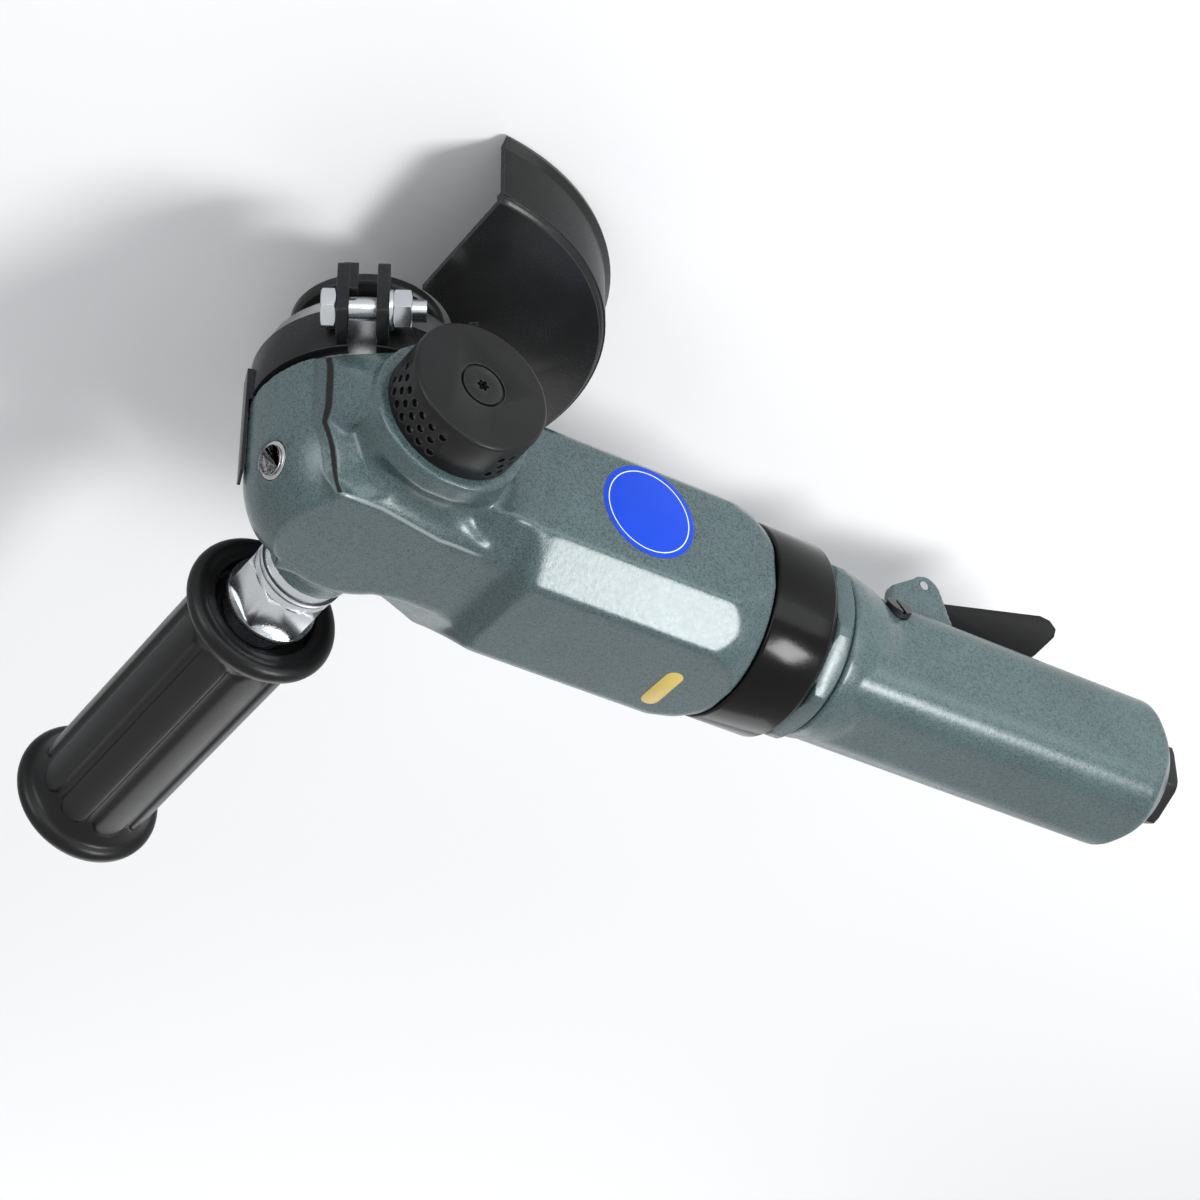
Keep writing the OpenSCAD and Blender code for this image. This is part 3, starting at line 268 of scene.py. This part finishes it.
def head_painted_light(f, colour, rough):
    """The head's paint with painted shade, black in the seam groove and a darker strip on the
    rim before it, and a painted highlight along the top edge.
    """
    x, y, z = (f.axis(letter) for letter in "XYZ")
    top = z.above(HEAD_TOP - 0.7, 0.3)
    along = x + (z - SEAM_KNEE).most(0.0) * SEAM_SLOPE
    # painted shade: a darker strip on the rim before the seam, and black in the seam groove
    rim = along.between(SEAM_X - 2.4, SEAM_X, 0.3) * (1 - top)
    seam = along.between(SEAM_X + 0.1, SEAM_X + SEAM_WIDTH - 0.05, 0.2) * (1 - top)
    # painted highlight: a lighter line along the edge of the flat top
    half = TOP_WIDE - (x - TOP_START).most(0.0) * TOP_TAPER
    edge = (y - half.most(TOP_NARROW)).between(-0.7, 0.3, 0.3) * top
    edge = edge * x.between(*TOP_PAINTED_HIGHLIGHT, 2.0)
    # lay the painted highlight, then the painted shade of the rim and the seam
    colour = f.mix(edge * 0.5, colour, (0.42, 0.47, 0.47))
    colour = f.mix(rim * 0.45, colour, (0.03, 0.042, 0.042))
    return f.mix(seam, colour, (0.002, 0.002, 0.002)), rough + seam * 0.6


def hammered_enamel(name, shade=1.0, grain=1.0, lines=None):
    f = Finish(name)
    fine = f.noise(0.42, 3.0, 0.65)
    speckle = f.noise(1.3, 2.0, 0.55)
    cloud = f.noise(24.0)
    cells = f.pits(1.7)
    colour = f.mix(0.42 + (fine - 0.5) * (2.6 * grain) + (speckle - 0.5) * (0.45 * grain)
                   + (cloud - 0.5) * 0.35,
                   shaded((0.021, 0.037, 0.039), shade), shaded((0.092, 0.140, 0.144), shade))
    rough = 0.29 + (fine - 0.5) * 0.26 + (speckle - 0.5) * 0.12
    # lines, where given, paints light and shade over the enamel
    if lines:
        colour, rough = lines(f, colour, rough)
    return f.surface(
        Base_Color=colour, Metallic=0.08, Roughness=rough, Specular_IOR_Level=0.42,
        Normal=f.bump(cells * 0.45 + fine * 0.4 + speckle * 0.5, 0.055 * grain))


def satin_black(name, rough, level, shine, edge=0.0):
    f = Finish(name)
    fine = f.noise(0.7)
    cloud = f.noise(18.0, 3.0)
    colour = f.mix((cloud - 0.35) * 0.9 + fine * 0.2, (level * 0.7,) * 3,
                   shaded((1.4, 1.45, 1.55), level))
    if edge:
        # lighter convex edges: partly paint wear, partly a painted highlight
        colour = f.mix(f.edge_wear_and_highlight() * edge, colour, (0.07, 0.072, 0.076))
    return f.surface(Base_Color=colour, Metallic=0.0, Specular_IOR_Level=shine,
                     Roughness=rough + (fine - 0.5) * 0.1 + (cloud - 0.5) * 0.12,
                     Normal=f.bump(fine, 0.012))


def worked_metal(name, colour, rough, line, dark=0.6, depth=0.008):
    """Turned, ground or plated metal; line sets the way its fine marks run."""
    f = Finish(name)
    marks = f.noise(0.9, 3.0, 0.6, f.stretched(*line))
    cloud = f.noise(7.0, 3.0)
    tint = f.mix((marks - 0.4) * 0.8 + (cloud - 0.42) * 1.3, shaded(colour, dark), colour)
    return f.surface(Base_Color=tint, Metallic=1.0,
                     Roughness=rough + (marks - 0.5) * 0.16 + (cloud - 0.5) * 0.14,
                     Normal=f.bump(marks, depth))


def bored_metal(name, colour, rough, mount):
    """Plated metal with painted shade down the bore of a mount: black, not metallic and
    rougher below its mouth.
    """
    f = Finish(name)
    out = Vector(mount_of(mount)["axis"])
    mouth = Vector(mount_of(mount)["pos_m"]) / MM
    height = f.axis("X") * out.x + f.axis("Y") * out.y + f.axis("Z") * out.z
    # painted shade: black below the mouth of the bore
    inside = (mouth.dot(out) - height).above(0.25, 0.25)
    cloud = f.noise(5.0)
    return f.surface(Base_Color=f.mix(inside, colour, (0.004, 0.004, 0.004)),
                     Metallic=1 - inside,
                     Roughness=rough + (cloud - 0.5) * 0.15 + inside * 0.4,
                     Normal=f.bump(cloud, 0.004))


def moulded_rubber(name, level):
    f = Finish(name)
    fine = f.noise(0.45)
    cloud = f.noise(14.0, 3.0)
    colour = f.mix(cloud, (level * 0.8,) * 3, shaded((1.5, 1.55, 1.65), level))
    # painted highlight: lighter convex edges and ridges of the grip
    colour = f.mix(f.edge_wear_and_highlight() * 0.9, colour, (0.06, 0.062, 0.066))
    return f.surface(Base_Color=colour, Specular_IOR_Level=0.17,
                     Roughness=0.33 + (fine - 0.5) * 0.14 + (cloud - 0.5) * 0.16,
                     Normal=f.bump(fine, 0.02))


def pressed_felt(name):
    f = Finish(name)
    hair = f.noise(0.5, 4.0, 0.7, f.stretched(1, 3, 1))
    return f.surface(Base_Color=f.mix(hair, (0.16, 0.15, 0.13), (0.33, 0.31, 0.27)),
                     Roughness=0.95, Normal=f.bump(hair, 0.2))


def laminate(name):
    f = Finish(name)
    plies = f.noise(0.8, 2.0, 0.5, f.stretched(0.1, 4, 4))
    return f.surface(Base_Color=f.mix(plies, (0.075, 0.032, 0.014), (0.15, 0.07, 0.03)),
                     Roughness=0.5, Normal=f.bump(plies, 0.02))


def pale_ring(f, shade):
    """The thin ring printed inside the rim of the round label."""
    away = ((f.axis("X") - BLUE_AT[0]) ** 2.0 + (f.axis("Z") - BLUE_AT[1]) ** 2.0) ** 0.5
    return f.mix(away.between(BLUE_RING - 0.14, BLUE_RING + 0.14, 0.06), shade,
                 (0.66, 0.70, 0.78))


def printed_film(name, colour, print_on=None):
    """A plain glossy label."""
    f = Finish(name)
    cloud = f.noise(9.0)
    shade = f.mix(cloud, shaded(colour, 0.88), colour)
    if print_on:
        shade = print_on(f, shade)
    return f.surface(Base_Color=shade, Roughness=0.3 + (cloud - 0.5) * 0.1,
                     Specular_IOR_Level=0.2, Normal=f.bump(cloud, 0.01))


def pale_floor(name):
    f = Finish(name)
    cloud = f.noise(400.0, 1.0)
    return f.surface(Base_Color=f.mix(cloud, (0.90, 0.90, 0.905), (0.93, 0.93, 0.93)),
                     Roughness=0.5, Normal=f.bump(f.noise(3.0), 0.004))


FINISH = {
    "head_enamel": hammered_enamel("head_enamel", lines=head_painted_light),
    "handle_enamel": hammered_enamel("handle_enamel", 1.04, 0.9),
    "ring_enamel": hammered_enamel("ring_enamel", 0.95, 0.5),
    "guard": satin_black("guard_black", 0.26, 0.015, 0.14, 0.9),
    "cap": satin_black("cap_black", 0.33, 0.010, 0.15, 1.0),
    "collar": satin_black("collar_black", 0.17, 0.003, 0.13),
    "lever": satin_black("lever_black", 0.36, 0.004, 0.08, 0.5),
    "oxide": satin_black("oxide_black", 0.33, 0.010, 0.2, 0.7),
    "zinc": worked_metal("zinc_plate", (0.56, 0.58, 0.60), 0.25, (1, 1, 6), 0.85, 0.003),
    "insert": bored_metal("plated_insert", (0.42, 0.42, 0.43), 0.28, "front_insert"),
    "bare": worked_metal("turned_steel", (0.46, 0.47, 0.48), 0.3, (1, 1, 30)),
    "steel": worked_metal("ground_steel", (0.50, 0.50, 0.51), 0.25, (20, 1, 1), 0.75),
    "gear": worked_metal("hardened_steel", (0.34, 0.34, 0.35), 0.38, (1, 1, 1)),
    "iron": worked_metal("ground_iron", (0.30, 0.30, 0.31), 0.42, (1, 1, 1)),
    "brass": worked_metal("turned_brass", (0.62, 0.45, 0.19), 0.3, (1, 1, 20), 0.8),
    "rubber": moulded_rubber("moulded_rubber", 0.006),
    "felt": pressed_felt("pressed_felt"),
    "laminate": laminate("vane_laminate"),
    "blue_film": printed_film("blue_film", (0.0, 0.045, 0.50), pale_ring),
    "yellow_film": printed_film("yellow_film", (0.62, 0.47, 0.13)),
}

WEAR = {
    "head_enamel": ["body_casting"],
    "handle_enamel": ["rear_handle"],
    "ring_enamel": ["lock_ring"],
    "guard": ["guard"],
    "cap": ["silencer_cap"],
    "collar": ["coupling_collar"],
    "lever": ["throttle_lever"],
    "oxide": ["silencer_screw", "regulator_screw", "inlet_bush", "neck_screws",
              "wheel_flange"],
    "zinc": ["clamp_bolt", "clamp_nut", "inlet_screen", "side_handle_bolt"],
    "insert": ["front_insert"],
    "bare": ["neck_collar"],
    "steel": ["spindle", "lower_spindle_bearing", "upper_spindle_bearing", "rotor",
              "front_rotor_bearing", "rear_rotor_bearing", "motor_spacer", "handle_core",
              "lever_pin", "valve_stem", "valve_spring", "gear_circlip"],
    "gear": ["bevel_gear", "pinion"],
    "iron": ["cylinder_liner", "front_end_plate", "rear_end_plate"],
    "brass": ["valve_bush"],
    "rubber": ["handle_grip", "neck_seal", "motor_seal"],
    "felt": ["silencer_felt"],
    "laminate": ["rotor_vanes"],
}
FINISH_OF = {node: finish for finish, nodes in WEAR.items() for node in nodes}


def dress(obj, finish):
    obj.data.materials.clear()
    obj.data.materials.append(FINISH[finish])


for node, finish in FINISH_OF.items():
    dress(NODES[node], finish)


# Making and placing pieces


def body_of_node(node):
    return next(body for body, nodes in RECORD["behaviour"]["bodies"].items()
                if node in nodes)


def object_of(mesh, name):
    obj = bpy.data.objects.new(name, mesh)
    bpy.context.scene.collection.objects.link(obj)
    return obj


def made_from(bm, name):
    """A new object from a bmesh, which is used up."""
    mesh = bpy.data.meshes.new(name)
    bm.to_mesh(mesh)
    bm.free()
    return object_of(mesh, name)


def mark_sharp(mesh, degrees=CRISP_DEG):
    """Smooth shading, with the edges over this angle kept crisp."""
    bm = bmesh.new()
    bm.from_mesh(mesh)
    for face in bm.faces:
        face.smooth = True
    for edge in bm.edges:
        edge.smooth = edge.calc_face_angle(math.pi) < math.radians(degrees)
    bm.to_mesh(mesh)
    bm.free()


def welded_copy(node, name, merge_facets=False):
    """A free copy of a CAD node's mesh with its doubles merged."""
    mesh = NODES[node].data.copy()
    bm = bmesh.new()
    bm.from_mesh(mesh)
    bmesh.ops.remove_doubles(bm, verts=bm.verts, dist=WELD * MM)
    bmesh.ops.dissolve_degenerate(bm, edges=bm.edges, dist=SLIVER * MM)
    if merge_facets:
        bmesh.ops.dissolve_limit(bm, angle_limit=math.radians(FACET_DEG), verts=bm.verts,
                                 edges=bm.edges, use_dissolve_boundaries=False,
                                 delimit=set())
    bmesh.ops.recalc_face_normals(bm, faces=bm.faces)
    bm.to_mesh(mesh)
    bm.free()
    if mesh.attributes.get("custom_normal"):
        mesh.attributes.remove(mesh.attributes["custom_normal"])
    return object_of(mesh, name)


def settle(obj):
    """Applies the modifiers of a piece."""
    depsgraph = bpy.context.evaluated_depsgraph_get()
    mesh = bpy.data.meshes.new_from_object(obj.evaluated_get(depsgraph))
    obj.modifiers.clear()
    obj.data = mesh


def goes_with(obj, node, finish=None):
    """obj wears a finish and moves with the body of a CAD node."""
    dress(obj, finish or FINISH_OF[node])
    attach(obj, body_of_node(node))
    return obj


def takes_over(obj, node):
    """obj is shown in place of a CAD node."""
    goes_with(obj, node)
    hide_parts(node)
    return obj


def close_stack(bm, rings):
    """The closed skin over a stack of outlines with the same number of points."""
    for near, far in zip(rings, rings[1:]):
        for i, start in enumerate(near):
            j = (i + 1) % len(near)
            bm.faces.new((start, near[j], far[j], far[i]))
    bm.faces.new(list(reversed(rings[0])))
    bm.faces.new(rings[-1])


# Cast skins

def ramp(value, low, high):
    """0 at low, 1 at high, with eased ends."""
    t = min(1.0, max(0.0, (value - low) / (high - low)))
    return t * t * (3 - 2 * t)


def top_edge(x):
    """Half width of the head's flat top at x."""
    return max(TOP_NARROW, TOP_WIDE - TOP_TAPER * max(x - TOP_START, 0))


def scooped(x, y, z):
    """The valley between the head's flat top and the silencer's boss, as a drop in z."""
    if z < VALLEY_FLOOR or y < top_edge(x):
        return 0.0
    across = min(1.0, (y - top_edge(x)) / (VALLEY_END - top_edge(x)))
    along = ramp(x, *VALLEY_STARTS) * (1 - ramp(x, *VALLEY_STOPS))
    up = min(1.0, (z - VALLEY_FLOOR) / VALLEY_FADE)
    return VALLEY_DEPTH * math.sin(math.pi * across) * along * up


def off_seam(x, y, z):
    """How much of the rounding reaches a point of the head: little beside the seam."""
    middle = SEAM_X + SEAM_WIDTH / 2
    away = abs(x + max(z - SEAM_KNEE, 0) * SEAM_SLOPE - middle)
    return 0.08 + 0.92 * min(1.0, max(0.0, (away - 1.4) / 1.5))


def at_root(x, y, z):
    """Where the housing's root flows into the head."""
    along = ramp(x, *ROOT_STARTS) * (1 - ramp(x, *ROOT_STOPS))
    return along * ramp(abs(y), *ROOT_BESIDE) * ramp(abs(z - AXIS_H), *ROOT_ABOVE)


def soften(obj, passes, share=None):
    """Rounds a skin; share says how much of it reaches each point."""
    smooth = obj.modifiers.new("round", "SMOOTH")
    smooth.factor, smooth.iterations = 0.5, passes
    if share:
        group = obj.vertex_groups.new(name="share")
        for vertex in obj.data.vertices:
            group.add([vertex.index], share(*(c / MM for c in vertex.co)), "REPLACE")
        smooth.vertex_group = group.name
    settle(obj)


def cast_skin(node, name, voxel_mm, passes, share=None, drop=None, blend=None):
    """A casting or moulding with rounded edges and fillets, from its CAD solid.

    share says how much of the rounding reaches a point, drop how far a point is lowered
    and blend where a longer rounding goes first.
    """
    obj = welded_copy(node, name)
    remesh = obj.modifiers.new("skin", "REMESH")
    remesh.mode, remesh.voxel_size = "VOXEL", voxel_mm * MM
    settle(obj)
    if drop:
        for vertex in obj.data.vertices:
            vertex.co.z -= drop(*(c / MM for c in vertex.co)) * MM
    if blend:
        soften(obj, BLEND_PASSES, blend)
    soften(obj, passes, share)
    for polygon in obj.data.polygons:
        polygon.use_smooth = True
    takes_over(obj, node)


# Machined and pressed pieces

def eased(node, name, width_mm, limit_deg=38):
    """A machined or pressed piece with its edges broken."""
    obj = welded_copy(node, name, merge_facets=True)
    bevel = obj.modifiers.new("broken_edges", "BEVEL")
    bevel.width, bevel.segments = width_mm * MM, 2
    bevel.limit_method, bevel.angle_limit = "ANGLE", math.radians(limit_deg)
    settle(obj)
    mark_sharp(obj.data)
    takes_over(obj, node)


def ear_cheeks():
    """The clamp's two ears as the photograph shows them, with edges full past the bolt."""
    bm = bmesh.new()
    turn = Matrix.Rotation(math.radians(EAR_TURN), 4, "Z")
    inner = EAR_GAP / 2 - EAR_PROUD_IN
    outer = EAR_GAP / 2 + EAR_THICK + EAR_PROUD_OUT
    for faces in ((-outer, -inner), (inner, outer)):
        close_stack(bm, [[bm.verts.new(turn @ (Vector((r, y, z)) * MM))
                          for r, z in EAR_OUTLINE] for y in faces])
    bmesh.ops.recalc_face_normals(bm, faces=bm.faces)
    obj = made_from(bm, "clamp_ear_plates")
    bevel = obj.modifiers.new("broken_edges", "BEVEL")
    bevel.width, bevel.segments = 0.5 * MM, 3
    settle(obj)
    mark_sharp(obj.data)
    goes_with(obj, "guard")


def return_spring():
    """The valve's spring, a copy of its CAD node; it is not made to shorten as the lever
    lifts the stem.
    """
    low, high = (Vector(corner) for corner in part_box("valve_spring"))
    travel = joint_of("valve_lift")["range_m"][1]
    coil = takes_over(welded_copy("valve_spring", "valve_return_spring"), "valve_spring")
    mark_sharp(coil.data, 60)
    1 - travel / (high.z - low.z)
    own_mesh(coil)


# Labels

def disc(radius, steps=96):
    turns = (2 * math.pi * k / steps for k in range(steps))
    return [(radius * math.cos(a), radius * math.sin(a)) for a in turns]


def rounded_bar(half_w, half_l, corner, steps=12):
    outline = []
    for quarter, (side, end) in enumerate(((1, 1), (-1, 1), (-1, -1), (1, -1))):
        for k in range(steps + 1):
            a = (quarter + k / steps) * math.pi / 2
            outline.append((side * (half_w - corner) + corner * math.cos(a),
                            end * (half_l - corner) + corner * math.sin(a)))
    return outline


def film(name, finish, outline, place, turn):
    """A thin label with a rounded rim, laid on a face of the casting."""
    bm = bmesh.new()
    close_stack(bm, [[bm.verts.new(Vector((x * share, y * share, height)) * MM)
                      for x, y in outline] for share, height in FILM_LEVELS])
    bmesh.ops.recalc_face_normals(bm, faces=bm.faces)
    bmesh.ops.rotate(bm, verts=bm.verts, cent=(0, 0, 0), matrix=turn)
    bmesh.ops.translate(bm, verts=bm.verts, vec=Vector(place) * MM)
    obj = made_from(bm, name)
    mark_sharp(obj.data, 50)
    goes_with(obj, "body_casting", finish)


ear_cheeks()
return_spring()
cast_skin("body_casting", "gear_head_casting", 0.68, 7, off_seam, scooped, at_root)
cast_skin("rear_handle", "throttle_handle_casting", 0.7, 9)
cast_skin("handle_grip", "side_grip_moulding", 0.6, 3)
eased("guard", "wheel_guard", 0.35)
eased("silencer_cap", "exhaust_cap", 0.2)
eased("coupling_collar", "coupling_collar_ring", 0.3)
eased("lock_ring", "handle_lock_ring", 0.25, 20)
eased("throttle_lever", "throttle_lever_pressing", 0.4)
eased("inlet_bush", "inlet_bush_hexagon", 0.3, 20)
eased("clamp_bolt", "clamp_bolt_plated", 0.2, 20)
eased("clamp_nut", "clamp_nut_plated", 0.2, 20)
eased("side_handle_bolt", "side_handle_stud", 0.3, 20)
eased("silencer_screw", "exhaust_cap_screw", 0.15, 30)
eased("front_insert", "front_insert_plated", 0.15, 30)
eased("wheel_flange", "wheel_flange_turned", 0.2, 30)
eased("neck_collar", "neck_collar_turned", 0.25, 30)
film("blue_label", "blue_film", disc(BLUE_R), (BLUE_AT[0], HALF_FLATS, BLUE_AT[1]),
     Matrix.Rotation(-math.pi / 2, 3, "X"))
film("yellow_label", "yellow_film", rounded_bar(*YELLOW_HALF, YELLOW_CORNER),
     (*YELLOW_AT, TOP_FACE), Matrix.Identity(3))


# Floor and light

def studio_floor():
    bm = bmesh.new()
    bmesh.ops.create_grid(bm, x_segments=1, y_segments=1, size=FLOOR_HALF)
    middle = (STUDIO_MIDDLE.x, STUDIO_MIDDLE.y, cad_low.z - FLOOR_GAP)
    bmesh.ops.translate(bm, verts=bm.verts, vec=middle)
    floor = made_from(bm, "studio_floor")
    floor.data.materials.append(pale_floor("pale_floor"))


def studio_air():
    """White to the camera and in reflections, a dimmer light on everything else."""
    world = bpy.data.worlds.new("studio_air")
    bpy.context.scene.world = world
    world.use_nodes = True
    nodes, links = world.node_tree.nodes, world.node_tree.links
    nodes.clear()
    path = nodes.new("ShaderNodeLightPath")
    shares = path.outputs["Is Camera Ray"]
    for ray in ("Is Glossy Ray", "Is Transmission Ray"):
        either = nodes.new("ShaderNodeMath")
        either.operation = "MAXIMUM"
        links.new(shares, either.inputs[0])
        links.new(path.outputs[ray], either.inputs[1])
        shares = either.outputs[0]
    choice = nodes.new("ShaderNodeMixShader")
    links.new(shares, choice.inputs["Fac"])
    lit, shown = ((0.93, 0.96, 1.0), 0.32), ((1.0, 1.0, 1.0), 1.0)
    for slot, (colour, strength) in enumerate((lit, shown), start=1):
        air = nodes.new("ShaderNodeBackground")
        air.inputs["Color"].default_value = (*colour, 1)
        air.inputs["Strength"].default_value = strength
        links.new(air.outputs[0], choice.inputs[slot])
    output = nodes.new("ShaderNodeOutputWorld")
    links.new(choice.outputs[0], output.inputs["Surface"])


def softbox(name, place, size, watts, tint):
    data = bpy.data.lights.new(name, "AREA")
    data.shape, data.size, data.size_y = "RECTANGLE", *size
    data.energy, data.color = watts, tint
    lamp = object_of(data, name)
    lamp.location = place
    aim = STUDIO_MIDDLE - Vector(place)
    lamp.rotation_euler = aim.to_track_quat("-Z", "Y").to_euler()


studio_floor()
studio_air()
softbox("key_softbox", (0.60, 0.64, 0.80), (0.3, 0.3), 11.2, (1.0, 1.0, 1.0))
softbox("front_softbox", (0.10, 1.25, 0.16), (2.2, 0.7), 15.0, (0.98, 1.0, 1.0))
softbox("side_softbox", (-1.05, 0.45, 0.22), (0.6, 0.6), 7.0, (0.96, 0.98, 1.0))
softbox("back_softbox", (0.35, -0.95, 0.35), (0.9, 0.6), 3.0, (0.97, 0.98, 1.0))
bpy.context.scene.view_settings.view_transform = "Standard"
